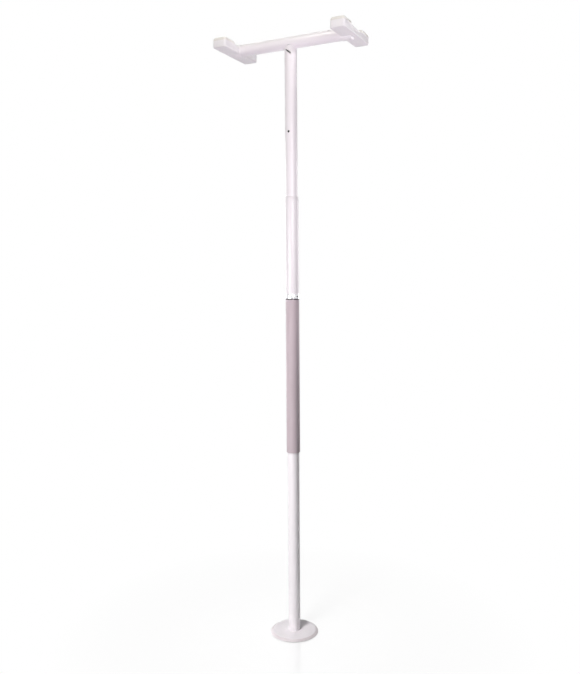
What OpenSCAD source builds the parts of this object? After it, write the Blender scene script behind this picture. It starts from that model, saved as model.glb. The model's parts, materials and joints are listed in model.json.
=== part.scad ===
// Floor-to-ceiling transfer pole, millimetres, +Z up.
// The origin is on the floor, under the middle of the floor plate.
// X runs along the cross tube and -Y is the side with the lock screw.

/* [Tubes] */
// Outside diameter of the lower and the upper tube
tube_od = 44.45; // [40:0.05:50]
// Wall of the lower and the upper tube
tube_wall = 3.05; // [2.5:0.05:3.5]
// Length of the lower tube
lower_tube_len = 1257; // [1000:1:1400]
// Length of the upper tube, up to its rim under the cross tube
upper_tube_len = 774; // [600:1:1000]
// Wall of the jack sleeve
sleeve_wall = 2.875; // [2:0.025:4]
// Length of the jack sleeve
sleeve_len = 352.5; // [330:0.5:450]
// Length of the tapered top of the jack sleeve
sleeve_taper_len = 14; // [4:1:20]
// Wall left at the mouth of that taper
sleeve_lip = 0.9; // [0.6:0.1:1.5]
// Radial clearance where one tube slides in another
slide_gap = 0.3; // [0.2:0.05:0.4]
// Bevel on the ends of the tubes and of the sleeve
tube_bevel = 0.8; // [0.3:0.1:1.2]

/* [Floor plate] */
// Diameter of the floor plate
plate_d = 180; // [170:1:240]
// Thickness of the floor plate at its rim
plate_rim_t = 2; // [1.5:0.25:4]
// Height of the raised middle above the rim
plate_rise = 6; // [4:0.5:8]
// Diameter of the raised middle
plate_top_d = 160; // [110:1:164]
// Bevel on the upper edge of the rim
plate_rim_bevel = 0.75; // [0.5:0.25:1]
// Thickness of the rubber floor pad
floor_pad_t = 2; // [1.5:0.5:4]
// Distance from the plate's edge to the pad's edge
floor_pad_inset = 3; // [1:0.5:6]
// Diameter of the opening in the middle of the floor pad
floor_pad_hole_d = 44; // [30:1:70]
// Length of the plug in the foot of the lower tube
base_plug_len = 60; // [40:1:90]
// Thread diameter of the bolt that holds the plate to the plug
base_bolt_d = 10; // [6:1:10]
// Length of that bolt
base_bolt_len = 45; // [30:1:60]

/* [Hand grip] */
// Length of the hand grip
grip_len = 570; // [300:1:800]
// Wall of the hand grip
grip_wall = 3; // [1.5:0.25:4]
// Rounding of the grip's lower edge
grip_round = 1.4; // [0.5:0.1:1.4]

/* [Jack] */
// Travel of the jack
jack_travel = 50; // [30:1:60]
// Pitch of the jack thread
thread_pitch = 7; // [6:0.5:8]
// Depth of the jack thread
thread_depth = 3; // [2:0.1:3.2]
// Width of the thread ridge at its crest
thread_crest_w = 2.4; // [2:0.1:2.6]
// Width of the thread ridge at its root
thread_root_w = 4; // [3.6:0.1:4.2]
// Thickness of the screw's flange
flange_t = 4; // [3:0.5:8]
// Length of the plain guide above the thread
guide_len = 50; // [40:1:60]
// Length of the screw's spigot in the lower tube
spigot_len = 60; // [40:1:90]
// Bore through the jack screw
screw_bore_d = 24; // [12:1:28]
// Outside diameter of the jack collar
collar_od = 54.4; // [52:0.1:62]
// Height of the jack collar
collar_h = 15; // [13:0.5:24]
// Bevel on the edges of the collar
collar_bevel = 0.8; // [0.4:0.1:1.2]
// Height above the collar's lower face at which its thread starts
collar_thread_start = 3; // [2.5:0.1:3.5]
// Diameter of the bar holes in the collar
bar_hole_d = 7; // [5:0.5:8]
// Number of bar holes round the collar
bar_holes = 3; // [2:1:6]
// Direction of the first bar hole, turned from -Y towards +X
bar_hole_turn = 68; // [0:1:120]
// Thickness of the thrust washer
washer_t = 1.5; // [1:0.25:3]

/* [Height setting] */
// Pitch of the setting holes in the jack sleeve
hole_pitch = 25.4; // [20:0.1:30]
// Number of steps between the lowest and the highest setting hole
hole_steps = 6; // [3:1:6]
// Diameter of the snap button
button_d = 9.4; // [7:0.1:11]
// How far the snap button stands out of the jack sleeve
button_proud = 3.5; // [2:0.25:5]
// Height of the snap button above the foot of the upper tube
button_rise = 24; // [20:1:40]
// Height of the gap between the jack screw and the upper tube
tube_end_gap = 5; // [2:0.5:10]
// Width of the spring strip behind the button
spring_w = 8; // [5:0.5:10]
// Thickness of the spring strip
spring_t = 0.8; // [0.5:0.1:1.2]

/* [Head] */
// Outside diameter of the cross tube
cross_od = 42.2; // [38:0.1:44]
// Wall of the cross tube
cross_wall = 2.8; // [2:0.1:4]
// Length of the cross tube
cross_len = 468; // [380:1:600]
// How far the upper tube's rim reaches up beside the cross tube
saddle_depth = 8; // [1:0.5:10]
// Wall of the head stem
stem_wall = 3; // [2:0.1:4]
// Length of the head stem, up to the axis of the cross tube
stem_len = 340; // [330:1:420]
// Distance from the axis of the cross tube down to the lock screw
lock_drop = 313; // [250:1:315]
// Thread diameter of the lock screw
lock_screw_d = 8; // [6:1:10]
// Length of the lock screw
lock_screw_len = 15; // [14:0.5:17]
// Thickness of the lock nut in the stem
lock_nut_t = 6.5; // [5:0.5:8]
// Width of the slanted slot near the rim of the upper tube
slot_w = 4.6; // [3:0.1:8]
// Length of the slanted slot
slot_len = 26; // [18:1:30]
// Slant of the slot, below the horizontal towards +X
slot_slant = 38; // [0:1:50]
// Distance from the rim down to the middle of the slot
slot_drop = 20.5; // [16:0.5:40]

/* [Ceiling pads] */
// Distance between the middles of the two pads
pad_spacing = 456; // [380:1:560]
// Length of a pad, across the cross tube
pad_len = 232; // [180:1:280]
// Width of a pad, along the cross tube
pad_w = 54; // [48:1:70]
// Depth of a pad's flat underside below the axis of the cross tube
pad_below = 13; // [10:0.5:18]
// Height of a pad's raised ends above that axis
pad_end_above = 11.5; // [10:0.5:14]
// Height of a pad's low waist above that axis
pad_waist_above = 8; // [4:0.5:9]
// Length of the flat top of a raised end
pad_end_len = 70; // [50:1:80]
// Length of the low waist
pad_waist_len = 50; // [48:1:70]
// Rounding of the pad's corners, seen from above
pad_corner_r = 8; // [3:0.5:12]
// Bevel along the pad's lower ends
pad_foot_bevel = 2; // [1:0.5:4]
// Wall of the socket round the end of the cross tube
socket_wall = 1.7; // [1.2:0.1:2]
// Thickness of the closed end of the socket
socket_end_t = 3; // [2:0.5:5]
// Thickness of the rubber facing on a raised end
facing_t = 12; // [11:0.5:14]
// Rounding of a facing's upper edges
facing_round = 9.5; // [4:0.5:10]
// Diameter of the pad screws
pad_screw_d = 5; // [4:0.5:6]
// Length of the pad screws
pad_screw_len = 18; // [12:1:24]
// Length of the plugs in the ends of the cross tube
tube_plug_len = 30; // [24:1:45]

/* [Fits] */
// Radial clearance of a plug or stem in its tube
plug_gap = 0.125; // [0.05:0.025:0.2]
// Radial clearance of the grip on its tube
grip_gap = 0.05; // [0:0.01:0.1]
// Radial and flank clearance of the jack thread
thread_gap = 0.4; // [0.3:0.05:0.45]
// Radial clearance of a screw, bolt or button in its hole
hole_gap = 0.3; // [0.2:0.05:0.5]
// Clearance where a tube end is shaped to another tube
cope_gap = 0.2; // [0.1:0.05:0.3]

/* [Hidden] */

$fn = 96;
eps = 0.01;
over = 1;
thread_segments = 24;
left = -1;
right = 1;

tube_r = tube_od / 2;
tube_ir = tube_r - tube_wall;
sleeve_ir = tube_r + slide_gap;
sleeve_r = sleeve_ir + sleeve_wall;
cross_r = cross_od / 2;
cross_ir = cross_r - cross_wall;
stem_r = tube_ir - plug_gap;
stem_ir = stem_r - stem_wall;
grip_r = tube_r + grip_wall;

plate_under = floor_pad_t;
plate_top = plate_under + plate_rim_t + plate_rise;
lower_top = plate_top + lower_tube_len;
flange_top = lower_top + flange_t;
collar_top = flange_top + collar_h;
sleeve_z = collar_top + washer_t;

thread_runout = 5;
thread_len = collar_h + jack_travel + thread_runout;
screw_root_r = tube_r - thread_depth;
screw_start_z = flange_top + collar_thread_start - thread_pitch / 2;
screw_turns = (flange_top + thread_len - thread_root_w / 2 - screw_start_z) / thread_pitch;
guide_top = flange_top + thread_len + guide_len;

collar_bore_r = tube_r + thread_gap;
collar_turns = (collar_h - 2 * collar_thread_start) / thread_pitch;
flank_slope = (thread_root_w - thread_crest_w) / thread_depth;
groove_w = thread_pitch - thread_root_w + flank_slope * thread_gap;
collar_ridge_tip_r = screw_root_r + thread_gap;
collar_ridge_tip_w = groove_w - 2 * thread_gap;
ridge_embed = 0.8;
collar_ridge_base_r = collar_bore_r + ridge_embed;
collar_ridge_base_w = collar_ridge_tip_w + flank_slope * (collar_ridge_base_r - collar_ridge_tip_r);

upper_foot = guide_top + tube_end_gap;
upper_rim = upper_foot + upper_tube_len;
cross_z = upper_rim + cross_r - saddle_depth;
button_z = upper_foot + button_rise;
button_r = button_d / 2;
button_tip_y = sleeve_r + button_proud;
button_dome = 2.5;
button_lip = 1.8;
button_flange_r = button_r + button_lip;
button_flange_t = 1.5;
button_flange_y = sqrt(tube_ir * tube_ir - button_flange_r * button_flange_r) - hole_gap;
spring_y = button_flange_y - button_flange_t;
spring_back_y = -sqrt(tube_ir * tube_ir - spring_w * spring_w / 4) + cope_gap;
spring_up = 14;
spring_down = 14;

lock_z = cross_z - lock_drop;
lock_r = lock_screw_d / 2;
lock_recess = 0.4;
lock_socket_af = lock_screw_d / 2;
lock_socket_depth = lock_screw_d / 2;
nut_af_share = 1.6;
lock_nut_af = nut_af_share * lock_screw_d;
lock_nut_corner_r = lock_nut_af / sqrt(3);
lock_nut_y = -sqrt(stem_ir * stem_ir - lock_nut_corner_r * lock_nut_corner_r) + cope_gap;

hex_share = 0.6;
bolt_r = base_bolt_d / 2;
bolt_head_r = base_bolt_d;
bolt_head_t = bolt_head_r - bolt_r;
bolt_socket_af = hex_share * base_bolt_d;
bolt_socket_depth = hex_share * bolt_head_t;

pad_x = pad_spacing / 2;
pad_inner_x = pad_x - pad_w / 2;
cross_end_x = cross_len / 2;
socket_ir = cross_r + plug_gap;
socket_r = socket_ir + socket_wall;
socket_end_x = cross_end_x + cope_gap + socket_end_t;
pad_screw_x = (pad_inner_x + cross_end_x) / 2;
pad_screw_r = pad_screw_d / 2;
pad_screw_head_r = pad_screw_d;
pad_screw_head_t = pad_screw_head_r - pad_screw_r;
pad_screw_sink = 0.15;
pad_screw_top = sqrt(socket_r * socket_r - pad_screw_head_r * pad_screw_head_r) - pad_screw_sink;
tube_plug_r = cross_ir - plug_gap;

white = [0.93, 0.92, 0.93];
ivory = [0.90, 0.87, 0.84];
mauve = [0.72, 0.64, 0.67];
bright = [0.80, 0.80, 0.82];
steel = [0.62, 0.62, 0.64];
dark = [0.16, 0.16, 0.17];
soft_black = [0.13, 0.13, 0.13];

// Tube along Z with bevelled ends
module tube(r_in, r_out, z, len, bevel) {
    translate([0, 0, z])
        rotate_extrude()
            polygon([
                [r_in, 0],
                [r_out - bevel, 0],
                [r_out, bevel],
                [r_out, len - bevel],
                [r_out - bevel, len],
                [r_in, len]
            ]);
}

// Plain rod along Z
module rod(r, z, len) {
    translate([0, 0, z])
        cylinder(r = r, h = len);
}

// Rod along X from x0 to x1, on the axis of the cross tube
module cross_rod(r, x0, x1) {
    translate([x0, 0, cross_z])
        rotate([0, 90, 0])
            cylinder(r = r, h = x1 - x0);
}

// Rod along Y from y0 to y1, at height z
module cross_drill(r, y0, y1, z, fn = $fn) {
    translate([0, y1, z])
        rotate([90, 0, 0])
            cylinder(r = r, h = y1 - y0, $fn = fn);
}

// Helical ridge of a thread: four corners carried round and up
module helical_ridge(r_in, r_out, w_in, w_out, start_z, turns) {
    rings = ceil(turns * thread_segments);
    corners = [[r_in, -w_in / 2], [r_out, -w_out / 2], [r_out, w_out / 2], [r_in, w_in / 2]];
    last = rings * 4;
    points = [
        for (i = [0 : rings])
            let (turn = i / thread_segments, a = turn * 360)
                for (c = corners)
                    [c[0] * cos(a), c[0] * sin(a), start_z + turn * thread_pitch + c[1]]
    ];
    sides = [
        for (i = [0 : rings - 1])
            for (k = [0 : 3])
                let (p = i * 4 + k, q = i * 4 + (k + 1) % 4)
                    for (f = [[p, q, q + 4], [p, q + 4, p + 4]])
                        f
    ];
    ends = [[0, 2, 1], [0, 3, 2], [last, last + 1, last + 2], [last, last + 2, last + 3]];
    polyhedron(points = points, faces = concat(sides, ends));
}

// Countersunk screw along +Z, its head's flat face at z = 0 and its body below
module countersunk_screw(r, head_r, head_t, len, socket_af, socket_depth) {
    difference() {
        union() {
            translate([0, 0, -len])
                cylinder(r = r, h = len);
            translate([0, 0, -head_t])
                cylinder(r1 = r, r2 = head_r, h = head_t);
        }
        translate([0, 0, -socket_depth])
            cylinder(r = socket_af / sqrt(3), h = socket_depth + over, $fn = 6);
    }
}

// Clearance hole for such a screw
module countersunk_hole(r, head_r, head_t, len) {
    translate([0, 0, -len])
        cylinder(r = r + hole_gap, h = len + eps);
    translate([0, 0, -head_t])
        cylinder(r1 = r + hole_gap, r2 = head_r + hole_gap, h = head_t);
    cylinder(r = head_r + hole_gap, h = over);
}

// Hole of the pad screw on one side, through the socket and the cross tube
module pad_screw_hole(side) {
    translate([side * pad_screw_x, 0, cross_z + pad_screw_top])
        countersunk_hole(pad_screw_r, pad_screw_head_r, pad_screw_head_t, pad_screw_len);
}

// Flat rectangle with round corners, centred
module round_rect(w, l, r) {
    square([w - 2 * r, l], center = true);
    square([w, l - 2 * r], center = true);
    for (x = [-1, 1])
        for (y = [-1, 1])
            translate([x * (w / 2 - r), y * (l / 2 - r)])
                circle(r = r);
}

// Upright shape with its two upper corners rounded, standing on the line y = 0
module round_top(w, h, r) {
    translate([-w / 2, 0])
        square([w, h - r]);
    translate([-w / 2 + r, 0])
        square([w - 2 * r, h]);
    for (x = [-1, 1])
        translate([x * (w / 2 - r), h - r])
            circle(r = r);
}

module floor_pad() {
    color(soft_black)
        difference() {
            rod(plate_d / 2 - floor_pad_inset, 0, floor_pad_t);
            rod(floor_pad_hole_d / 2, -over, floor_pad_t + 2 * over);
        }
}

module floor_plate() {
    rim_r = plate_d / 2;
    rim_top = plate_under + plate_rim_t;
    color(white)
        difference() {
            rotate_extrude()
                polygon([
                    [0, plate_under],
                    [rim_r, plate_under],
                    [rim_r, rim_top - plate_rim_bevel],
                    [rim_r - plate_rim_bevel, rim_top],
                    [plate_top_d / 2, plate_top],
                    [0, plate_top]
                ]);
            translate([0, 0, plate_under])
                mirror([0, 0, 1])
                    countersunk_hole(bolt_r, bolt_head_r, bolt_head_t, plate_top);
        }
}

module base_plug() {
    color(steel)
        difference() {
            rod(tube_ir - plug_gap, plate_top, base_plug_len);
            rod(bolt_r, plate_top - over, base_plug_len + 2 * over);
        }
}

module base_bolt() {
    color(steel)
        translate([0, 0, plate_under])
            mirror([0, 0, 1])
                countersunk_screw(bolt_r - eps, bolt_head_r, bolt_head_t, base_bolt_len, bolt_socket_af,
                    bolt_socket_depth);
}

module lower_tube() {
    color(white)
        tube(tube_ir, tube_r, plate_top, lower_tube_len, tube_bevel);
}

module hand_grip() {
    grip_z = lower_top - grip_len;
    color(mauve)
        translate([0, 0, grip_z])
            rotate_extrude() {
                translate([tube_r + grip_gap, grip_round])
                    square([grip_wall - grip_gap, grip_len - grip_round]);
                translate([tube_r + grip_gap, 0])
                    square([grip_wall - grip_gap - grip_round, grip_round]);
                translate([grip_r - grip_round, grip_round])
                    intersection() {
                        circle(r = grip_round);
                        translate([0, -grip_round])
                            square([grip_round, grip_round]);
                    }
            }
}

module jack_screw() {
    color(dark)
        difference() {
            union() {
                rod(tube_ir - plug_gap, lower_top - spigot_len, spigot_len);
                rod(grip_r, lower_top, flange_t);
                rod(screw_root_r, flange_top, thread_len);
                rod(tube_r, flange_top + thread_len, guide_len);
                helical_ridge(screw_root_r - ridge_embed, tube_r,
                    thread_root_w + flank_slope * ridge_embed, thread_crest_w, screw_start_z, screw_turns);
            }
            rod(screw_bore_d / 2, lower_top - spigot_len - over, guide_top);
        }
}

module jack_collar() {
    color(bright)
        difference() {
            union() {
                tube(collar_bore_r, collar_od / 2, flange_top, collar_h, collar_bevel);
                helical_ridge(collar_ridge_tip_r, collar_ridge_base_r, collar_ridge_tip_w, collar_ridge_base_w,
                    flange_top + collar_thread_start, collar_turns);
            }
            for (i = [0 : bar_holes - 1])
                rotate([0, 0, bar_hole_turn + i * 360 / bar_holes])
                    cross_drill(bar_hole_d / 2, -collar_od, -collar_od / 4, flange_top + collar_h / 2);
        }
}

module thrust_washer() {
    color(bright)
        difference() {
            rod(sleeve_r, collar_top, washer_t);
            rod(collar_bore_r, collar_top - over, washer_t + 2 * over);
        }
}

module jack_sleeve() {
    color(white)
        difference() {
            translate([0, 0, sleeve_z])
                rotate_extrude()
                    polygon([
                        [sleeve_ir, 0],
                        [sleeve_r - tube_bevel, 0],
                        [sleeve_r, tube_bevel],
                        [sleeve_r, sleeve_len - sleeve_taper_len],
                        [sleeve_ir + sleeve_lip, sleeve_len],
                        [sleeve_ir, sleeve_len]
                    ]);
            for (i = [0 : hole_steps])
                cross_drill(button_r + hole_gap, 0, sleeve_r + over, button_z + i * hole_pitch);
        }
}

// The slanted slot, cut in from -Y through the upper tube and the stem inside it
module slanted_slot() {
    translate([0, 0, upper_rim - slot_drop])
        rotate([90, slot_slant, 0])
            linear_extrude(tube_od)
                round_rect(slot_len, slot_w, slot_w / 2 - eps);
}

module upper_tube() {
    color(white)
        difference() {
            tube(tube_ir, tube_r, upper_foot, upper_tube_len, tube_bevel);
            cross_rod(cross_r + cope_gap, -tube_od, tube_od);
            cross_drill(button_r + hole_gap, 0, tube_od, button_z);
            cross_drill(lock_r + hole_gap, -tube_od, 0, lock_z);
            slanted_slot();
        }
}

module snap_button() {
    color(steel)
        translate([0, 0, button_z])
            rotate([-90, 0, 0])
                rotate_extrude()
                    polygon(concat(
                        [[0, spring_y], [button_flange_r, spring_y], [button_flange_r, button_flange_y],
                            [button_r, button_flange_y]],
                        [for (a = [0 : 15 : 90]) [button_r * cos(a), button_tip_y - button_dome * (1 - sin(a))]]
                    ));
}

module snap_spring() {
    bend_z = button_z - spring_down;
    color(steel)
        translate([-spring_w / 2, 0, 0])
            rotate([90, 0, 90])
                linear_extrude(spring_w)
                    polygon([
                        [spring_y, button_z + spring_up],
                        [spring_y - spring_t, button_z + spring_up],
                        [spring_y - spring_t, bend_z + spring_t],
                        [spring_back_y + spring_t, bend_z + spring_t],
                        [spring_back_y + spring_t, button_z + spring_up],
                        [spring_back_y, button_z + spring_up],
                        [spring_back_y, bend_z],
                        [spring_y, bend_z]
                    ]);
}

module head_stem() {
    color(steel)
        difference() {
            tube(stem_ir, stem_r, cross_z - stem_len, stem_len, tube_bevel);
            cross_rod(cross_r + cope_gap, -tube_od, tube_od);
            cross_drill(lock_r + hole_gap, -tube_od, 0, lock_z);
            slanted_slot();
        }
}

module lock_screw() {
    front_y = -tube_r + lock_recess;
    color(dark)
        difference() {
            cross_drill(lock_r, front_y, front_y + lock_screw_len, lock_z);
            cross_drill(lock_socket_af / sqrt(3), front_y - over, front_y + lock_socket_depth, lock_z, 6);
        }
}

module lock_nut() {
    color(steel)
        difference() {
            cross_drill(lock_nut_corner_r, lock_nut_y, lock_nut_y + lock_nut_t, lock_z, 6);
            cross_drill(lock_r + eps, lock_nut_y - over, lock_nut_y + lock_nut_t + over, lock_z);
        }
}

module cross_tube() {
    color(white)
        difference() {
            cross_rod(cross_r, -cross_end_x, cross_end_x);
            cross_rod(cross_ir, -cross_end_x - over, cross_end_x + over);
            for (side = [left, right])
                pad_screw_hole(side);
        }
}

module tube_plug(side) {
    color(soft_black)
        difference() {
            mirror([side == left ? 1 : 0, 0, 0])
                cross_rod(tube_plug_r, cross_end_x - tube_plug_len, cross_end_x);
            translate([side * pad_screw_x, 0, cross_z])
                cylinder(r = pad_screw_r, h = cross_od);
        }
}

// Side outline of a pad, drawn in Y and Z about the axis of the cross tube
module pad_profile() {
    end_y = pad_len / 2;
    flat_y = end_y - pad_end_len;
    waist_y = pad_waist_len / 2;
    polygon([
        [-end_y + pad_foot_bevel, -pad_below],
        [end_y - pad_foot_bevel, -pad_below],
        [end_y, -pad_below + pad_foot_bevel],
        [end_y, pad_end_above],
        [flat_y, pad_end_above],
        [waist_y, pad_waist_above],
        [-waist_y, pad_waist_above],
        [-flat_y, pad_end_above],
        [-end_y, pad_end_above],
        [-end_y, -pad_below + pad_foot_bevel]
    ]);
}

// One pad, drawn on the right and mirrored for the left
module pad(side) {
    color(white)
        mirror([side == left ? 1 : 0, 0, 0])
            difference() {
                union() {
                    intersection() {
                        translate([pad_x, 0, cross_z - pad_below])
                            linear_extrude(pad_below + pad_end_above)
                                round_rect(pad_w, pad_len, pad_corner_r);
                        translate([pad_inner_x, 0, cross_z])
                            rotate([90, 0, 90])
                                linear_extrude(pad_w)
                                    pad_profile();
                    }
                    cross_rod(socket_r, pad_inner_x, socket_end_x);
                }
                cross_rod(socket_ir, pad_inner_x - over, cross_end_x + cope_gap);
                pad_screw_hole(right);
            }
}

// The two rubber facings of one pad
module facings(side) {
    color(ivory)
        for (end = [-1, 1])
            translate([side * pad_x, end * (pad_len - pad_end_len) / 2, cross_z + pad_end_above])
                intersection() {
                    linear_extrude(facing_t)
                        round_rect(pad_w, pad_end_len, pad_corner_r);
                    translate([0, pad_end_len / 2, 0])
                        rotate([90, 0, 0])
                            linear_extrude(pad_end_len)
                                round_top(pad_w, facing_t, facing_round);
                    translate([-pad_w / 2, 0, 0])
                        rotate([90, 0, 90])
                            linear_extrude(pad_w)
                                round_top(pad_end_len, facing_t, facing_round);
                }
}

module pad_screws() {
    color(steel)
        for (side = [left, right])
            translate([side * pad_screw_x, 0, cross_z + pad_screw_top])
                countersunk_screw(pad_screw_r - eps, pad_screw_head_r, pad_screw_head_t, pad_screw_len,
                    hex_share * pad_screw_d, pad_screw_head_t);
}

floor_pad();
floor_plate();
base_plug();
base_bolt();
lower_tube();
hand_grip();
jack_screw();
jack_collar();
thrust_washer();
jack_sleeve();
upper_tube();
snap_button();
snap_spring();
head_stem();
lock_screw();
lock_nut();
cross_tube();
tube_plug(left);  // left_tube_plug
tube_plug(right);  // right_tube_plug
pad(left);  // left_pad
pad(right);  // right_pad
facings(left);  // left_facings
facings(right);  // right_facings
pad_screws();
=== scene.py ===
"""Looks of a floor-to-ceiling transfer pole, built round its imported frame. Metres, +Z up."""

import json
import math

import bmesh
import bpy
from mathutils import Matrix, Vector


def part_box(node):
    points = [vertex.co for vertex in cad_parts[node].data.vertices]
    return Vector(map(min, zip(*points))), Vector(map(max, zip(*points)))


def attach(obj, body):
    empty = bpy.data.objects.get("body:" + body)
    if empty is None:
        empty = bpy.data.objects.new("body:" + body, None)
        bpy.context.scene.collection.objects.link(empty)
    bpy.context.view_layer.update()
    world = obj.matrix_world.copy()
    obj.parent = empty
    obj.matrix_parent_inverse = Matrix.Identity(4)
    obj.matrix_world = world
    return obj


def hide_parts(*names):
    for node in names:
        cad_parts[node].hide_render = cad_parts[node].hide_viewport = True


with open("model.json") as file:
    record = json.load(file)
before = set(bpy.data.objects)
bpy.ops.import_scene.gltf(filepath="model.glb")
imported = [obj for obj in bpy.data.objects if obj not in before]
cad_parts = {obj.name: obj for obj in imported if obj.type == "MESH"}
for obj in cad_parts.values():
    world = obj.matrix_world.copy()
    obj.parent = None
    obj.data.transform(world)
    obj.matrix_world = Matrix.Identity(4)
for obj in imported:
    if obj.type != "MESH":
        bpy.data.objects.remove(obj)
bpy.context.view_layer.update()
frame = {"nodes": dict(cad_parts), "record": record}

# View: the camera stands in front of the pole and to its right, a little above its middle.
# The frame's height and the focal length are in pixels, the angles in degrees
view_frame_h = 674
view_focal = 726.18
view_azimuth = 26.355
view_yaw = 0.209
view_pitch = 4.806
view_roll = -0.407
view_distance = 2.6743
view_height = 1.3536
sensor_mm = 36

# Facets in a full turn
round_steps = 128
ring_steps = 192
grip_steps = 160
button_steps = 64
bore_steps = 48
thread_steps = 72

# Facets along a rounded edge, a soft corner, a slot's end and a button's crown
edge_steps = 4
corner_steps = 10
slot_end_steps = 8
crown_steps = 12

# Angles in degrees past which an edge stays hard, and past which a pad's rim is rounded
turned_sharp = 32
moulded_sharp = 40
rubber_sharp = 50
hard_rim = 45

# Distances at which two points count as one: for a test, after a spin, and in a cut piece
same_point = 1e-6
spin_weld = 1e-7
cut_weld = 2e-6

# How far cutters reach, as shares of a radius and as lengths past a face
from_inside = 0.5
past_wall = 1.2
past_tube = 1.5
bore_lead = 0.01
screw_lead = 0.001

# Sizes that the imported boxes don't give: the tubes, the grip and the gaps between pieces
tube_wall = 0.00305
tube_bevel = 0.0008
sleeve_wall = 0.002875
sleeve_taper = 0.014
sleeve_lip = 0.0009
sleeve_shoulder_r = 0.004
sleeve_lip_r = 0.0004
cross_wall = 0.0028
grip_wall = 0.003
grip_gap = 0.00005
grip_foot_r = 0.0014
grip_top_r = 0.0005
hole_gap = 0.0003
cope_gap = 0.0002
plug_gap = 0.000125

# The floor plate and the rubber ring under it
plate_rim = 0.002
plate_middle_r = 0.08
plate_bevel = 0.00075
plate_shoulder_r = 0.0025
plate_rim_r = 0.0004
plate_foot_r = 0.0005
ring_opening = 0.022
ring_foot_r = 0.0006
ring_top_r = 0.0005

# The screw jack, with the turn of its first bar hole in degrees
thread_pitch = 0.007
thread_depth = 0.003
thread_crest = 0.0024
thread_root = 0.004
thread_slope = (thread_root - thread_crest) / thread_depth
thread_gap = 0.0004
thread_embed = 0.0008
collar_thread_start = 0.003
collar_edge_r = 0.0008
guide_length = 0.05
guide_edge_r = 0.0008
flange_edge_r = 0.0005
washer_edge_r = 0.0003
screw_bore_r = 0.012
bar_hole_r = 0.0035
bar_hole_count = 3
bar_hole_turn = 68

# The snap button and its holes
setting_holes = 7
hole_pitch = 0.0254
button_lip = 0.0018
button_flange_t = 0.0015
button_dome = 0.0025

# The slanted slot: its slant in degrees, and the rounding of its corners as a share of its width
slot_w = 0.0046
slot_len = 0.026
slot_slant = 38
slot_drop = 0.0205
slot_end_share = 0.498

# The pads, their sockets, screws and facings
pad_below = 0.013
pad_end_above = 0.0115
pad_waist_above = 0.008
pad_end_len = 0.07
pad_waist_len = 0.05
pad_corner_r = 0.008
pad_foot_bevel = 0.002
pad_edge_r = 0.0011
pad_screw_len = 0.018
socket_wall = 0.0017
socket_end_t = 0.003
socket_sink = 0.00002
socket_start_r = 0.0005
facing_round = 0.0095

# Wear of the white coat and painted shade on the plate's rim: how high scuffs go, and the radii and heights
# over which the painted rim shade fades
scuff_top = 0.16
rim_shade_radii = (0.0795, 0.0825)
rim_shade_heights = (0.012, 0.02)

# The studio: the surround's strength as a light, and the floor's size, tones and fading distances
ambient = 0.04
floor_r = 9.0
floor_steps = 96
floor_fade = (0.12, 0.9)
floor_grey = 0.86
floor_glow = 1.07
floor_plain = 0.82
polish_fade = (0.09, 0.40)
polish_share = 0.22
polish_roughness = 0.12

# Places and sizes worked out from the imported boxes
tube_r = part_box("lower_tube")[1].x
tube_ir = tube_r - tube_wall
lower_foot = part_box("lower_tube")[0].z
lower_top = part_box("lower_tube")[1].z
flange_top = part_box("jack_collar")[0].z
collar_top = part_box("jack_collar")[1].z
collar_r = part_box("jack_collar")[1].x
upper_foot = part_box("upper_tube")[0].z
upper_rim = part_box("upper_tube")[1].z
button_low, button_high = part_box("snap_button")
button_z = (button_low.z + button_high.z) / 2
pin_r = button_high.x - button_lip
lock_z = (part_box("lock_screw")[0].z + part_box("lock_screw")[1].z) / 2
lock_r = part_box("lock_screw")[1].x
cross_low, cross_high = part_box("cross_tube")
cross_z = (cross_low.z + cross_high.z) / 2
cross_r = cross_high.y
screw_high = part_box("pad_screws")[1]
screw_head_r = screw_high.y
screw_x = screw_high.x - screw_head_r
screw_root_r = tube_r - thread_depth
collar_bore_r = tube_r + thread_gap


class Signal:
    """A shader socket that takes part in Python arithmetic."""

    def __init__(self, finish, socket):
        self.finish = finish
        self.socket = socket

    def maths(self, operation, *terms):
        return self.finish.add("Math", {"operation": operation}, dict(enumerate(terms)))["Value"]

    def __add__(self, other):
        return self.maths("ADD", self, other)

    def __sub__(self, other):
        return self.maths("SUBTRACT", self, other)

    def __rsub__(self, other):
        return self.maths("SUBTRACT", other, self)

    def __mul__(self, other):
        return self.maths("MULTIPLY", self, other)

    __radd__ = __add__
    __rmul__ = __mul__


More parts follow.
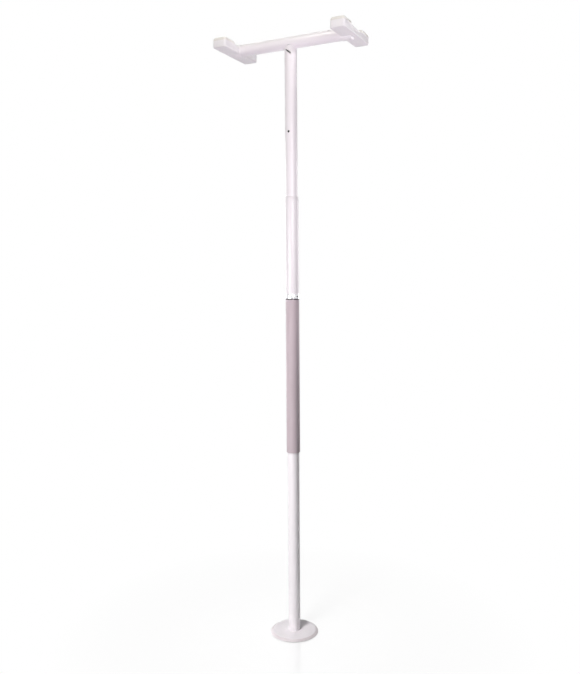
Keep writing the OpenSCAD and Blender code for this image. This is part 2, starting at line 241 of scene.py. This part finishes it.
class Finish:
    """A node tree with one method that adds any node."""

    def __init__(self, owner):
        owner.use_nodes = True
        self.owner = owner
        self.tree = owner.node_tree
        self.tree.nodes.clear()

    def add(self, kind, settings=None, sockets=None):
        node = self.tree.nodes.new("ShaderNode" + kind)
        for name, value in (settings or {}).items():
            setattr(node, name, value)
        for name, value in (sockets or {}).items():
            socket = self.find(node.inputs, name)
            if isinstance(value, Signal):
                self.tree.links.new(value.socket, socket)
            else:
                socket.default_value = value
        return {out.name: Signal(self, out) for out in node.outputs if out.enabled}

    @staticmethod
    def find(sockets, name):
        if isinstance(name, int):
            return sockets[name]
        return next(s for s in sockets if s.enabled and s.name == name)

    def place(self):
        return self.add("TexCoord")["Object"]

    def stretched(self, scale):
        return self.add("Mapping", None, {"Vector": self.place(), "Scale": scale})["Vector"]

    def length(self, where):
        return self.add("VectorMath", {"operation": "LENGTH"}, {"Vector": where})["Value"]

    def noise(self, where, scale, detail):
        sockets = {"Vector": where, "Scale": scale, "Detail": detail}
        return self.add("TexNoise", None, sockets)["Fac"]

    def cells(self, where, scale):
        sockets = {"Vector": where, "Scale": scale}
        return self.add("TexVoronoi", {"feature": "SMOOTH_F1"}, sockets)["Distance"]

    def between(self, value, low, high):
        sockets = {"Value": value, "From Min": low, "From Max": high}
        return self.add("MapRange", {"clamp": True}, sockets)["Result"]

    def blend(self, share, first, second):
        sockets = {"Factor": share, "A": first, "B": second}
        return self.add("Mix", {"data_type": "RGBA"}, sockets)["Result"]

    def bump(self, height, strength, depth):
        sockets = {"Height": height, "Strength": strength, "Distance": depth}
        return self.add("Bump", None, sockets)["Normal"]

    def surface(self, sockets):
        shader = self.add("BsdfPrincipled", None, sockets)["BSDF"]
        self.add("OutputMaterial", None, {"Surface": shader})
        return self.owner


def powder_coat():
    """White powder coat on steel: a faint orange peel, scuffs near the floor, and painted shade that darkens
    the plate's bevelled rim all round.
    """
    coat = Finish(bpy.data.materials.new("powder_coat"))
    where = coat.place()
    height = coat.add("SeparateXYZ", None, {"Vector": where})["Z"]
    cloud = coat.noise(where, 7.0, 3.0)
    peel = coat.noise(where, 520.0, 1.0)
    scuff = coat.noise(coat.stretched((260.0, 260.0, 40.0)), 1.0, 4.0)
    low_down = 1 - coat.between(height, 0.0, scuff_top)
    worn = coat.between(scuff, 0.56, 0.70) * low_down
    # Painted shade: a brownish grey darkens the plate's bevel and rim all round, where the edge falls into
    # shade, broken up a little by the scuff noise
    out = coat.length(coat.stretched((1, 1, 0)))
    on_plate = 1 - coat.between(height, *rim_shade_heights)
    painted_rim_shade = coat.between(out, *rim_shade_radii) * on_plate * (0.40 + scuff * 0.3)
    clean = coat.blend(cloud, (0.862, 0.815, 0.848, 1), (0.90, 0.855, 0.888, 1))
    marked = coat.blend(worn * 0.35, clean, (0.62, 0.59, 0.58, 1))
    return coat.surface({
        # The brownish grey mixed in here is the painted shade on the plate's rim
        "Base Color": coat.blend(painted_rim_shade, marked, (0.55, 0.47, 0.49, 1)),
        "Roughness": 0.30 + cloud * 0.08 + worn * 0.2 + painted_rim_shade * 0.2,
        "Coat Weight": 0.25,
        "Coat Roughness": 0.12,
        "Normal": coat.bump(peel, 0.10, 0.0004),
    })


def pad_plastic():
    """Moulded white plastic with a fine eroded grain."""
    plastic = Finish(bpy.data.materials.new("pad_plastic"))
    where = plastic.place()
    grain = plastic.noise(where, 1400.0, 2.0)
    cloud = plastic.noise(where, 22.0, 3.0)
    return plastic.surface({
        "Base Color": plastic.blend(cloud, (0.86, 0.825, 0.85, 1), (0.90, 0.87, 0.89, 1)),
        "Roughness": 0.42 + grain * 0.16,
        "Normal": plastic.bump(grain, 0.22, 0.0003),
    })


def facing_rubber():
    """Ivory rubber that presses on the ceiling: dull, with a fine pebbled skin."""
    rubber = Finish(bpy.data.materials.new("facing_rubber"))
    where = rubber.place()
    pebble = rubber.cells(where, 900.0)
    cloud = rubber.noise(where, 30.0, 4.0)
    return rubber.surface({
        "Base Color": rubber.blend(cloud, (0.80, 0.765, 0.735, 1), (0.86, 0.83, 0.80, 1)),
        "Roughness": 0.66 + cloud * 0.16,
        "Normal": rubber.bump(pebble, 0.30, 0.0004),
    })


def grip_vinyl():
    """Mauve-grey vinyl: faint lines along the sleeve from its die, and a fine leather grain."""
    vinyl = Finish(bpy.data.materials.new("grip_vinyl"))
    where = vinyl.place()
    lines = vinyl.noise(vinyl.stretched((420.0, 420.0, 5.0)), 1.0, 3.0)
    grain = vinyl.cells(where, 620.0)
    cloud = vinyl.noise(where, 14.0, 4.0)
    tint = vinyl.blend(cloud, (0.555, 0.46, 0.50, 1), (0.625, 0.527, 0.57, 1))
    return vinyl.surface({
        "Base Color": vinyl.blend(lines * 0.25, tint, (0.48, 0.39, 0.426, 1)),
        "Roughness": 0.40 + grain * 0.10,
        "Specular IOR Level": 0.2,
        "Normal": vinyl.bump(grain + lines * 0.6, 0.15, 0.0003),
    })


def turned_metal():
    """Bright plated metal with fine turning lines round it."""
    metal = Finish(bpy.data.materials.new("turned_metal"))
    rings = metal.noise(metal.stretched((30.0, 30.0, 5200.0)), 1.0, 2.0)
    cloud = metal.noise(metal.place(), 90.0, 3.0)
    return metal.surface({
        "Base Color": metal.blend(cloud, (0.74, 0.74, 0.76, 1), (0.84, 0.84, 0.85, 1)),
        "Metallic": 1.0,
        "Roughness": 0.12 + rings * 0.10 + cloud * 0.04,
        "Normal": metal.bump(rings, 0.06, 0.0002),
    })


def black_oxide():
    """Black oxide on steel, lightly oiled, with paler rubbed patches."""
    oxide = Finish(bpy.data.materials.new("black_oxide"))
    where = oxide.place()
    rubbed = oxide.between(oxide.noise(where, 160.0, 4.0), 0.55, 0.75)
    grain = oxide.noise(where, 1100.0, 2.0)
    return oxide.surface({
        "Base Color": oxide.blend(rubbed, (0.032, 0.031, 0.034, 1), (0.085, 0.082, 0.085, 1)),
        "Metallic": 0.55,
        "Roughness": 0.40 + grain * 0.15 - rubbed * 0.08,
        "Normal": oxide.bump(grain, 0.10, 0.0002),
    })


def zinc_plate():
    """Zinc plating: soft grey spangle and a fine brushed grain."""
    zinc = Finish(bpy.data.materials.new("zinc_plate"))
    where = zinc.place()
    spangle = zinc.cells(where, 210.0)
    brushed = zinc.noise(zinc.stretched((900.0, 900.0, 120.0)), 1.0, 2.0)
    return zinc.surface({
        "Base Color": zinc.blend(spangle, (0.50, 0.50, 0.53, 1), (0.66, 0.66, 0.68, 1)),
        "Metallic": 1.0,
        "Roughness": 0.26 + brushed * 0.18,
        "Normal": zinc.bump(brushed, 0.08, 0.0002),
    })


def floor_rubber():
    """Matt black rubber with a dusty bloom."""
    rubber = Finish(bpy.data.materials.new("floor_rubber"))
    where = rubber.place()
    bloom = rubber.noise(where, 45.0, 5.0)
    grain = rubber.noise(where, 1300.0, 2.0)
    return rubber.surface({
        "Base Color": rubber.blend(bloom, (0.028, 0.028, 0.029, 1), (0.070, 0.068, 0.066, 1)),
        "Roughness": 0.72 + bloom * 0.2,
        "Normal": rubber.bump(grain, 0.25, 0.0003),
    })


def plug_plastic():
    """Black moulded plastic with a fine grain."""
    plastic = Finish(bpy.data.materials.new("plug_plastic"))
    where = plastic.place()
    grain = plastic.noise(where, 1500.0, 2.0)
    cloud = plastic.noise(where, 40.0, 3.0)
    return plastic.surface({
        "Base Color": plastic.blend(cloud, (0.035, 0.035, 0.037, 1), (0.065, 0.064, 0.066, 1)),
        "Roughness": 0.42 + grain * 0.14,
        "Normal": plastic.bump(grain, 0.20, 0.0003),
    })


finishes = {
    "white_coat": powder_coat(),
    "white_plastic": pad_plastic(),
    "ivory_rubber": facing_rubber(),
    "grip_vinyl": grip_vinyl(),
    "bright_metal": turned_metal(),
    "dark_steel": black_oxide(),
    "plain_steel": zinc_plate(),
    "black_rubber": floor_rubber(),
    "black_plastic": plug_plastic(),
}


def lathe(bm, outline, rounded=(), steps=round_steps):
    """Turns a closed outline of (radius, height) points about Z, and rounds corners given by number."""
    rim = [bm.verts.new((r, 0, z)) for r, z in outline]
    edges = [bm.edges.new(pair) for pair in zip(rim, rim[1:] + rim[:1])]
    bmesh.ops.spin(bm, geom=rim + edges, axis=(0, 0, 1), angle=math.tau, steps=steps, use_merge=True)
    bmesh.ops.remove_doubles(bm, verts=bm.verts, dist=spin_weld)
    bmesh.ops.delete(bm, geom=[e for e in bm.edges if e.is_wire], context="EDGES")
    bmesh.ops.recalc_face_normals(bm, faces=bm.faces)
    for corner, radius in rounded:
        round_ring(bm, outline[corner], radius)


def round_ring(bm, corner, radius):
    """Rounds the ring of edges that one outline corner has made."""
    def on_corner(vert):
        out = math.hypot(vert.co.x, vert.co.y)
        return abs(out - corner[0]) < same_point and abs(vert.co.z - corner[1]) < same_point

    round_edges(bm, [e for e in bm.edges if all(on_corner(v) for v in e.verts)], radius)


def round_edges(bm, edges, radius, steps=edge_steps):
    """Rounds edges in a number of facets."""
    bmesh.ops.bevel(bm, geom=edges, offset=radius, segments=steps, profile=0.5, affect="EDGES",
                    material=-1)


def helical_ridge(bm, r_in, r_out, w_in, w_out, start_z, turns):
    """Carries the four corners of a thread ridge round and up, and closes its two ends."""
    corners = [(r_in, -w_in / 2), (r_out, -w_out / 2), (r_out, w_out / 2), (r_in, w_in / 2)]
    steps = math.ceil(turns * thread_steps)
    first = [bm.verts.new((r, 0, start_z + z)) for r, z in corners]
    face = bm.faces.new(first)
    bmesh.ops.spin(bm, geom=[face], axis=(0, 0, 1), dvec=(0, 0, turns * thread_pitch / steps),
                   angle=math.tau * turns, steps=steps)
    bmesh.ops.recalc_face_normals(bm, faces=bm.faces)


def slab(bm, width, length, height):
    """Adds a block centred on Z that stands on z = 0."""
    half_w, half_l = width / 2, length / 2
    corners = [(-half_w, -half_l), (half_w, -half_l), (half_w, half_l), (-half_w, half_l)]
    face = bm.faces.new([bm.verts.new((x, y, 0)) for x, y in corners])
    grown = bmesh.ops.extrude_face_region(bm, geom=[face])["geom"]
    top = [v for v in grown if isinstance(v, bmesh.types.BMVert)]
    bmesh.ops.translate(bm, vec=(0, 0, height), verts=top)
    bmesh.ops.recalc_face_normals(bm, faces=bm.faces)


def rounded_slab(bm, width, length, height, corner_r, steps):
    """Adds a slab whose four upright edges are rounded."""
    slab(bm, width, length, height)
    upright = [e for e in bm.edges if abs(e.verts[0].co.z - e.verts[1].co.z) > height / 2]
    round_edges(bm, upright, corner_r, steps)


def quarter_turn(axis, sign=1):
    """A quarter turn about an axis, one way or the other."""
    return Matrix.Rotation(math.radians(90 * sign), 4, axis)


def lay(bm, place, turn):
    """Turns a bmesh about the origin, then moves it to its place."""
    bmesh.ops.transform(bm, matrix=Matrix.Translation(place) @ turn, verts=bm.verts)


def solid(name, bm):
    """Makes an object at the origin from a bmesh."""
    mesh = bpy.data.meshes.new(name)
    bm.to_mesh(mesh)
    bm.free()
    obj = bpy.data.objects.new(name, mesh)
    bpy.context.scene.collection.objects.link(obj)
    return obj


def turned_piece(name, outline, rounded=(), steps=round_steps):
    """A solid of revolution about Z."""
    bm = bmesh.new()
    lathe(bm, outline, rounded, steps)
    return solid(name, bm)


def pipe_outline(r_in, r_out, low, high):
    """The outline of a pipe's wall, from its inner foot round to its inner top."""
    return [(r_in, low), (r_out, low), (r_out, high), (r_in, high)]


def drill(name, radius, start, end, steps=bore_steps):
    """A closed rod between two points, to cut with."""
    start, end = Vector(start), Vector(end)
    turn = (end - start).to_track_quat("Z", "Y").to_matrix().to_4x4()
    place = Matrix.Translation((start + end) / 2) @ turn
    bm = bmesh.new()
    bmesh.ops.create_cone(bm, cap_ends=True, segments=steps, radius1=radius, radius2=radius,
                          depth=(end - start).length, matrix=place)
    return solid(name, bm)


def combine(piece, operation, others):
    """Cuts or joins a piece with other solids, which are used up, and welds what the cut splits."""
    for other in others:
        step = piece.modifiers.new("combine", "BOOLEAN")
        step.operation = operation
        step.solver = "MANIFOLD"
        step.object = other
    bpy.context.view_layer.update()
    depsgraph = bpy.context.evaluated_depsgraph_get()
    mesh = bpy.data.meshes.new_from_object(piece.evaluated_get(depsgraph))
    piece.modifiers.clear()
    piece.data = mesh
    bm = bmesh.new()
    bm.from_mesh(mesh)
    bmesh.ops.remove_doubles(bm, verts=bm.verts, dist=cut_weld)
    bmesh.ops.dissolve_degenerate(bm, edges=bm.edges, dist=cut_weld)
    bmesh.ops.recalc_face_normals(bm, faces=bm.faces)
    bm.to_mesh(mesh)
    bm.free()
    for other in others:
        bpy.data.objects.remove(other)


def dress(piece, slot, body, *replaced, sharp=turned_sharp):
    """Gives a piece its finish, its body and the nodes that it stands for."""
    piece.data.materials.clear()
    piece.data.materials.append(finishes[slot])
    piece.data.shade_smooth()
    piece.data.set_sharp_from_angle(angle=math.radians(sharp))
    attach(piece, body)
    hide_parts(*replaced)


def floor_plate():
    """The round plate: a flat middle, a bevel down to a thin rim, and a countersunk hole from below."""
    low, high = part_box("floor_plate")
    bolt_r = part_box("base_bolt")[1].x / 2 + hole_gap
    head_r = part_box("base_bolt")[1].x + hole_gap
    rim_top = low.z + plate_rim
    outline = [
        (bolt_r, high.z),
        (plate_middle_r, high.z),
        (high.x - plate_bevel, rim_top),
        (high.x, rim_top - plate_bevel),
        (high.x, low.z),
        (head_r, low.z),
        (bolt_r, low.z + head_r - bolt_r),
    ]
    rounded = [(1, plate_shoulder_r), (2, plate_rim_r), (3, plate_rim_r), (4, plate_foot_r)]
    plate = turned_piece("floor_plate_finish", outline, rounded, ring_steps)
    dress(plate, "white_coat", "lower_pole", "floor_plate")


def floor_pad():
    """The rubber ring under the plate."""
    low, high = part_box("floor_pad")
    outline = pipe_outline(ring_opening, high.x, low.z, high.z)
    rounded = [(0, ring_foot_r), (1, ring_foot_r), (2, ring_top_r)]
    ring = turned_piece("floor_pad_finish", outline, rounded, ring_steps)
    dress(ring, "black_rubber", "lower_pole", "floor_pad")


def lower_tube():
    """The tube from the plate to the top of the grip."""
    outline = pipe_outline(tube_ir, tube_r, lower_foot, lower_top)
    tube = turned_piece("lower_tube_finish", outline, [(1, tube_bevel), (2, tube_bevel)])
    dress(tube, "white_coat", "lower_pole", "lower_tube")


def hand_grip():
    """The vinyl sleeve on the lower tube, rounded more at its foot than at its top."""
    low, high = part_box("hand_grip")
    outline = pipe_outline(tube_r + grip_gap, tube_r + grip_wall, low.z, high.z)
    rounded = [(1, grip_foot_r), (2, grip_top_r)]
    grip = turned_piece("hand_grip_finish", outline, rounded, grip_steps)
    dress(grip, "grip_vinyl", "lower_pole", "hand_grip")


def jack_screw():
    """The hollow stub on the lower tube: a spigot, a flange, the thread and a plain guide."""
    low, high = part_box("jack_screw")
    thread_top = high.z - guide_length
    spigot_r = tube_ir - plug_gap
    flange_r = tube_r + grip_wall
    bm = bmesh.new()
    outline = [
        (screw_bore_r, low.z),
        (spigot_r, low.z),
        (spigot_r, lower_top),
        (flange_r, lower_top),
        (flange_r, flange_top),
        (screw_root_r, flange_top),
        (screw_root_r, thread_top),
        (tube_r, thread_top),
        (tube_r, high.z),
        (screw_bore_r, high.z),
    ]
    lathe(bm, outline, [(3, flange_edge_r), (4, flange_edge_r), (8, guide_edge_r)])
    base_r = screw_root_r - thread_embed
    base_w = thread_root + thread_slope * thread_embed
    start = flange_top + collar_thread_start - thread_pitch / 2
    turns = (thread_top - thread_root / 2 - start) / thread_pitch
    helical_ridge(bm, base_r, tube_r, base_w, thread_crest, start, turns)
    dress(solid("jack_screw_finish", bm), "dark_steel", "lower_pole", "jack_screw")


def jack_collar():
    """The bright ring that runs on the thread, with holes through its wall for a turning bar."""
    outline = pipe_outline(collar_bore_r, collar_r, flange_top, collar_top)
    rounded = [(1, collar_edge_r), (2, collar_edge_r)]
    collar = turned_piece("jack_collar_finish", outline, rounded, ring_steps)
    middle = Vector((0, 0, (flange_top + collar_top) / 2))
    holes = []
    for i in range(bar_hole_count):
        turn = math.radians(bar_hole_turn + i * 360 / bar_hole_count)
        out = Vector((math.sin(turn), -math.cos(turn), 0)) * collar_r
        holes.append(drill("bar_hole", bar_hole_r, middle + out * from_inside, middle + out * past_wall))
    combine(collar, "UNION", [collar_thread()])
    combine(collar, "DIFFERENCE", holes)
    dress(collar, "bright_metal", "collar", "jack_collar")


def collar_thread():
    """The ridge inside the collar that runs in the groove of the jack screw."""
    tip_r = screw_root_r + thread_gap
    base_r = collar_bore_r + thread_embed
    tip_w = thread_pitch - thread_root + thread_slope * thread_gap - 2 * thread_gap
    base_w = tip_w + thread_slope * (base_r - tip_r)
    turns = (collar_top - flange_top - 2 * collar_thread_start) / thread_pitch
    bm = bmesh.new()
    helical_ridge(bm, tip_r, base_r, tip_w, base_w, flange_top + collar_thread_start, turns)
    return solid("collar_thread", bm)


def thrust_washer():
    """The thin ring between collar and sleeve."""
    low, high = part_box("thrust_washer")
    outline = pipe_outline(collar_bore_r, high.x, low.z, high.z)
    rounded = [(1, washer_edge_r), (2, washer_edge_r)]
    washer = turned_piece("thrust_washer_finish", outline, rounded, grip_steps)
    dress(washer, "bright_metal", "sleeve_unit", "thrust_washer")


def jack_sleeve():
    """The wider tube, with a tapered mouth and a row of setting holes at its back."""
    low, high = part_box("jack_sleeve")
    r_in = high.x - sleeve_wall
    outline = [
        (r_in, low.z),
        (high.x, low.z),
        (high.x, high.z - sleeve_taper),
        (r_in + sleeve_lip, high.z),
        (r_in, high.z),
    ]
    rounded = [(1, tube_bevel), (2, sleeve_shoulder_r), (3, sleeve_lip_r)]
    sleeve = turned_piece("jack_sleeve_finish", outline, rounded)
    reach = high.x * past_wall
    heights = [button_z + i * hole_pitch for i in range(setting_holes)]
    holes = [drill("setting_hole", pin_r + hole_gap, (0, 0, z), (0, reach, z)) for z in heights]
    combine(sleeve, "DIFFERENCE", holes)
    dress(sleeve, "white_coat", "sleeve_unit", "jack_sleeve")


def slanted_slot():
    """The slot at the top of the upper tube, as a solid to cut with."""
    bm = bmesh.new()
    rounded_slab(bm, slot_len, slot_w, tube_r * past_wall, slot_w * slot_end_share, slot_end_steps)
    slant = Matrix.Rotation(math.radians(slot_slant), 4, "Y")
    lay(bm, (0, 0, upper_rim - slot_drop), slant @ quarter_turn("X"))
    return solid("slanted_slot", bm)


def upper_tube():
    """The tube under the head, hollowed at its top to fit the cross tube."""
    outline = pipe_outline(tube_ir, tube_r, upper_foot, upper_rim)
    tube = turned_piece("upper_tube_finish", outline, [(1, tube_bevel)])
    reach = tube_r * past_tube
    cuts = [
        drill("cross_cope", cross_r + cope_gap, (-reach, 0, cross_z), (reach, 0, cross_z), round_steps),
        drill("lock_hole", lock_r + hole_gap, (0, -reach, lock_z), (0, 0, lock_z)),
        drill("button_hole", pin_r + hole_gap, (0, 0, button_z), (0, reach, button_z)),
        slanted_slot(),
    ]
    combine(tube, "DIFFERENCE", cuts)
    dress(tube, "white_coat", "head_unit", "upper_tube")


def snap_button():
    """A flanged pin with a domed crown that points to the back."""
    shoulder = button_low.y + button_flange_t
    crown_angles = [math.radians(90 * step / crown_steps) for step in range(crown_steps)]
    outline = [
        (0, button_low.y),
        (button_high.x, button_low.y),
        (button_high.x, shoulder),
        (pin_r, shoulder),
    ]
    outline += [
        (pin_r * math.cos(a), button_high.y - button_dome * (1 - math.sin(a)))
        for a in crown_angles
    ]
    outline.append((0, button_high.y))
    bm = bmesh.new()
    lathe(bm, outline, steps=button_steps)
    lay(bm, (0, 0, button_z), quarter_turn("X", -1))
    dress(solid("snap_button_finish", bm), "plain_steel", "button", "snap_button")


def cross_tube():
    """The bar of the head, with a countersunk hole for a pad screw near each end."""
    outline = pipe_outline(cross_r - cross_wall, cross_r, cross_low.x, cross_high.x)
    bm = bmesh.new()
    lathe(bm, outline, [(1, tube_bevel), (2, tube_bevel)])
    lay(bm, (0, 0, cross_z), quarter_turn("Y"))
    tube = solid("cross_tube_finish", bm)
    combine(tube, "DIFFERENCE", [pad_screw_cutter(-1), pad_screw_cutter(1)])
    dress(tube, "white_coat", "head_unit", "cross_tube")


def pad_screw_cutter(side):
    """The countersunk hole of the pad screw on one side."""
    shank_r = screw_head_r / 2
    sink = screw_head_r - shank_r
    outline = [
        (0, -pad_screw_len),
        (shank_r + hole_gap, -pad_screw_len),
        (shank_r + hole_gap, -sink),
        (screw_head_r + hole_gap, 0),
        (screw_head_r + hole_gap, screw_lead),
        (0, screw_lead),
    ]
    bm = bmesh.new()
    lathe(bm, outline, steps=bore_steps)
    bmesh.ops.translate(bm, vec=(side * screw_x, 0, screw_high.z), verts=bm.verts)
    return solid("pad_screw_hole", bm)


def rim_edges(bm, on_rim):
    """Edges of a hard rim whose ends both satisfy a test."""
    rim = [e for e in bm.edges if all(on_rim(v) for v in e.verts)]
    return [e for e in rim if e.calc_face_angle(0) > math.radians(hard_rim)]


def pad_block(width, length):
    """The body of a pad: a slab with round corners whose top dips to a low waist."""
    height = pad_below + pad_end_above
    waist_y = pad_waist_len / 2
    flat_y = length / 2 - pad_end_len
    bm = bmesh.new()
    rounded_slab(bm, width, length, height, pad_corner_r, corner_steps)
    for y in (-flat_y, -waist_y, waist_y, flat_y):
        everything = bm.verts[:] + bm.edges[:] + bm.faces[:]
        bmesh.ops.bisect_plane(bm, geom=everything, plane_co=(0, y, 0), plane_no=(0, 1, 0))
    for vert in bm.verts:
        if vert.co.z > height / 2:
            share = min(max((abs(vert.co.y) - waist_y) / (flat_y - waist_y), 0), 1)
            vert.co.z = pad_below + pad_waist_above + share * (pad_end_above - pad_waist_above)
    round_edges(bm, rim_edges(bm, lambda v: v.co.z > height / 2), pad_edge_r)
    round_edges(bm, rim_edges(bm, lambda v: v.co.z < same_point), pad_foot_bevel)
    return bm


def pad_socket(side, inner_x, end_x):
    """The round socket of a pad with a closed end, which starts just inside the pad's inner face."""
    bm = bmesh.new()
    inner_x += side * socket_sink
    reach = abs(end_x - inner_x)
    rim_r = cross_r + plug_gap + socket_wall
    outline = [(0, 0), (rim_r, 0), (rim_r, reach), (0, reach)]
    lathe(bm, outline, [(1, socket_start_r), (2, pad_edge_r)])
    lay(bm, (inner_x, 0, cross_z), quarter_turn("Y", side))
    return solid("socket", bm)


def pad(side):
    """One pad: its block and socket joined, then bored for the cross tube and the screw."""
    name = "left_pad" if side < 0 else "right_pad"
    low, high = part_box(name)
    width = high.x - low.x
    middle = (low.x + high.x) / 2
    bm = pad_block(width, high.y - low.y)
    bmesh.ops.translate(bm, vec=(middle, 0, cross_z - pad_below), verts=bm.verts)
    block = solid(name + "_finish", bm)

    inner_x = middle - side * width / 2
    bore_end = side * (cross_high.x + cope_gap)
    bore_start = inner_x - side * bore_lead
    combine(block, "UNION", [pad_socket(side, inner_x, bore_end + side * socket_end_t)])
    bore = drill("socket_bore", cross_r + plug_gap, (bore_start, 0, cross_z), (bore_end, 0, cross_z),
                 round_steps)
    combine(block, "DIFFERENCE", [bore, pad_screw_cutter(side)])
    dress(block, "white_plastic", "head_unit", name, sharp=moulded_sharp)


def facings(side):
    """The two rubber blocks on the raised ends of one pad."""
    name = "left_facings" if side < 0 else "right_facings"
    low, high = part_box(name)
    width = high.x - low.x
    height = high.z - low.z
    middle = (low.x + high.x) / 2
    both = bmesh.new()
    for end in (-1, 1):
        bm = bmesh.new()
        slab(bm, width, pad_end_len, height)
        rim = [e for e in bm.edges if any(v.co.z > height / 2 for v in e.verts)]
        round_edges(bm, rim, facing_round, corner_steps)
        y = end * (high.y - pad_end_len / 2)
        bmesh.ops.translate(bm, vec=(middle, y, low.z), verts=bm.verts)
        part = bpy.data.meshes.new("facing")
        bm.to_mesh(part)
        bm.free()
        both.from_mesh(part)
        bpy.data.meshes.remove(part)
    dress(solid(name + "_finish", both), "ivory_rubber", "head_unit", name, sharp=rubber_sharp)


def dress_frame_nodes():
    """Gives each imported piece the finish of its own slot, for those that still show."""
    slots = {part["node"]: part["material_slot"] for part in frame["record"]["subparts"]}
    for name, obj in frame["nodes"].items():
        for slot in obj.material_slots:
            slot.material = finishes[slots[name]]


def camera():
    """Stands the camera at its distance and height, and turns it by the view's angles."""
    azimuth = math.radians(view_azimuth)
    facing = math.radians(view_azimuth + view_yaw)
    pitch = math.radians(view_pitch)
    roll = math.radians(view_roll)
    level = Vector((-math.sin(facing), math.cos(facing), 0))
    ahead = level * math.cos(pitch) - Vector((0, 0, math.sin(pitch)))
    right = Vector((math.cos(facing), math.sin(facing), 0))
    up = right.cross(ahead)
    across = right * math.cos(roll) + up * math.sin(roll)
    upward = up * math.cos(roll) - right * math.sin(roll)
    turn = Matrix((across, upward, -ahead)).transposed().to_4x4()
    out = Vector((math.sin(azimuth), -math.cos(azimuth), 0))
    stand = out * view_distance + Vector((0, 0, view_height))
    data = bpy.data.cameras.new("view")
    data.sensor_width = sensor_mm
    data.lens = view_focal / view_frame_h * sensor_mm
    obj = bpy.data.objects.new("view", data)
    bpy.context.scene.collection.objects.link(obj)
    obj.matrix_world = Matrix.Translation(stand) @ turn
    bpy.context.scene.camera = obj


def soft_light(name, place, aim, size, watts, beam, colour=(1, 1, 1)):
    """A rectangular lamp aimed at a point, with the width of its beam in degrees."""
    data = bpy.data.lights.new(name, "AREA")
    data.shape = "RECTANGLE"
    data.size, data.size_y = size
    data.energy = watts
    data.color = colour
    data.spread = math.radians(beam)
    obj = bpy.data.objects.new(name, data)
    bpy.context.scene.collection.objects.link(obj)
    turn = (Vector(aim) - Vector(place)).to_track_quat("-Z", "Y").to_matrix().to_4x4()
    obj.matrix_world = Matrix.Translation(place) @ turn


def seen_rays(finish):
    """1 for a ray that shows the surroundings, in the view or in a reflection, and 0 for light."""
    path = finish.add("LightPath")
    total = path["Is Camera Ray"] + path["Is Glossy Ray"] + path["Is Transmission Ray"]
    return finish.between(total, 0.0, 1.0)


def studio():
    """A surround that looks white and gives little light, and the lamps round the pole."""
    world = bpy.data.worlds.new("studio")
    bpy.context.scene.world = world
    air = Finish(world)
    strength = ambient + seen_rays(air) * (1 - ambient)
    shown = air.add("Background", None, {"Color": (1, 1, 1, 1), "Strength": strength})["Background"]
    air.add("OutputWorld", None, {"Surface": shown})

    # Each lamp has a place, a point that it aims at, a size, its watts and its beam
    cream = (1.0, 0.99, 0.94)
    lilac = (1.0, 0.92, 1.0)
    tall = (0.8, 1.8)
    small = (0.5, 0.5)
    soft_light("low_key", (-0.72, -2.54, 0.8), (0, 0, 0.58), (1.0, 1.3), watts=6.0, beam=61)
    soft_light("high_key", (1.65, -1.9, 1.8), (0, 0, 1.68), (0.8, 0.8), watts=1.95, beam=54)
    soft_light("back_right", (1.2, 2.19, 1.2), (0, 0, 1.2), tall, watts=3.4, beam=63)
    soft_light("back_left", (-2.29, 1.0, 1.2), (0, 0, 1.2), tall, watts=4.6, beam=63)
    soft_light("head_right", (1.95, -0.35, 2.4), (0, 0, 2.35), (0.4, 0.25), watts=0.42, beam=20)
    soft_light("head_top", (-0.2, -1.3, 3.6), (0, 0, 2.2), (0.9, 0.6), watts=4.2, beam=70, colour=cream)
    soft_light("head_under", (0.9, -0.8, 0.5), (0.1, 0, 2.2), small, watts=2.05, beam=60, colour=lilac)
    soft_light("head_under_left", (-0.7, -0.8, 0.5), (-0.1, 0, 2.2), small, watts=0.6, beam=60, colour=lilac)
    soft_light("foot", (-0.1, -1.5, 3.0), (0, 0, 0), small, watts=1.7, beam=30)


def floor():
    """A pale floor that turns plain white away from the pole and has a faint polish near the plate."""
    bm = bmesh.new()
    bmesh.ops.create_circle(bm, cap_ends=True, segments=floor_steps, radius=floor_r)
    ground = solid("floor", bm)
    pale = Finish(bpy.data.materials.new("floor"))
    flat = pale.length(pale.place())
    far = pale.between(flat, *floor_fade)
    matt = pale.add("BsdfDiffuse", None, {"Color": (floor_grey, floor_grey, floor_grey, 1)})["BSDF"]
    level = floor_glow - far * (floor_glow - 1)
    white = pale.add("Emission", None, {"Color": (1, 1, 1, 1), "Strength": level})["Emission"]
    plain = seen_rays(pale) * (floor_plain + far * (1 - floor_plain))
    body = pale.add("MixShader", None, {"Fac": plain, 1: matt, 2: white})["Shader"]
    mirror = {"Color": (1, 1, 1, 1), "Roughness": polish_roughness}
    gloss = pale.add("BsdfGlossy", None, mirror)["BSDF"]
    polish = (1 - pale.between(flat, *polish_fade)) * polish_share
    shader = pale.add("MixShader", None, {"Fac": polish, 1: body, 2: gloss})["Shader"]
    pale.add("OutputMaterial", None, {"Surface": shader})
    ground.data.materials.append(pale.owner)


camera()
dress_frame_nodes()
floor_plate()
floor_pad()
lower_tube()
hand_grip()
jack_screw()
jack_collar()
thrust_washer()
jack_sleeve()
upper_tube()
snap_button()
cross_tube()
for side in (-1, 1):
    pad(side)
    facings(side)
studio()
floor()
bpy.context.scene.view_settings.view_transform = "Standard"
